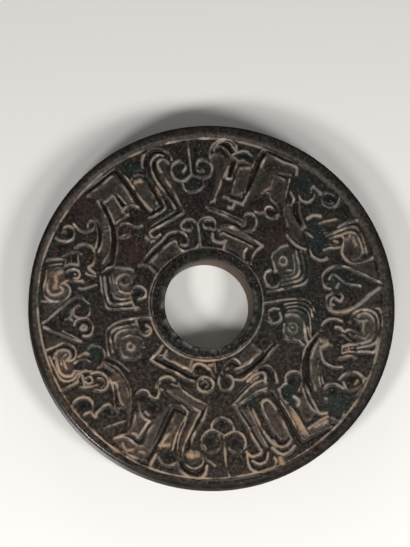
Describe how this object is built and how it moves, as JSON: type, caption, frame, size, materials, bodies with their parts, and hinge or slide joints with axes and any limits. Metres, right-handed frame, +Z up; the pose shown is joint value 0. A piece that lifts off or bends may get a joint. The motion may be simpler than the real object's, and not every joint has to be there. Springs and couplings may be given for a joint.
{
  "type": "carved jade bi disc",
  "caption": "Flat round disc of dark carved stone with a round hole near its middle, a plain raised rim and collar, and a sunk scroll pattern between them.",
  "frame": {"origin": "middle of the flat underside, on the surface that the disc lies on", "axes": "+Z up through the thickness, out of the carved face; +Y toward one fork motif, +X toward one heart motif"},
  "size_m": [0.15, 0.15, 0.014],
  "materials": {
    "dark_jade": "polished, worn, with pale deposit in the carving"
  },
  "bodies": {
    "root": {"bi_disc": "dark_jade"}
  },
  "joints": []
}
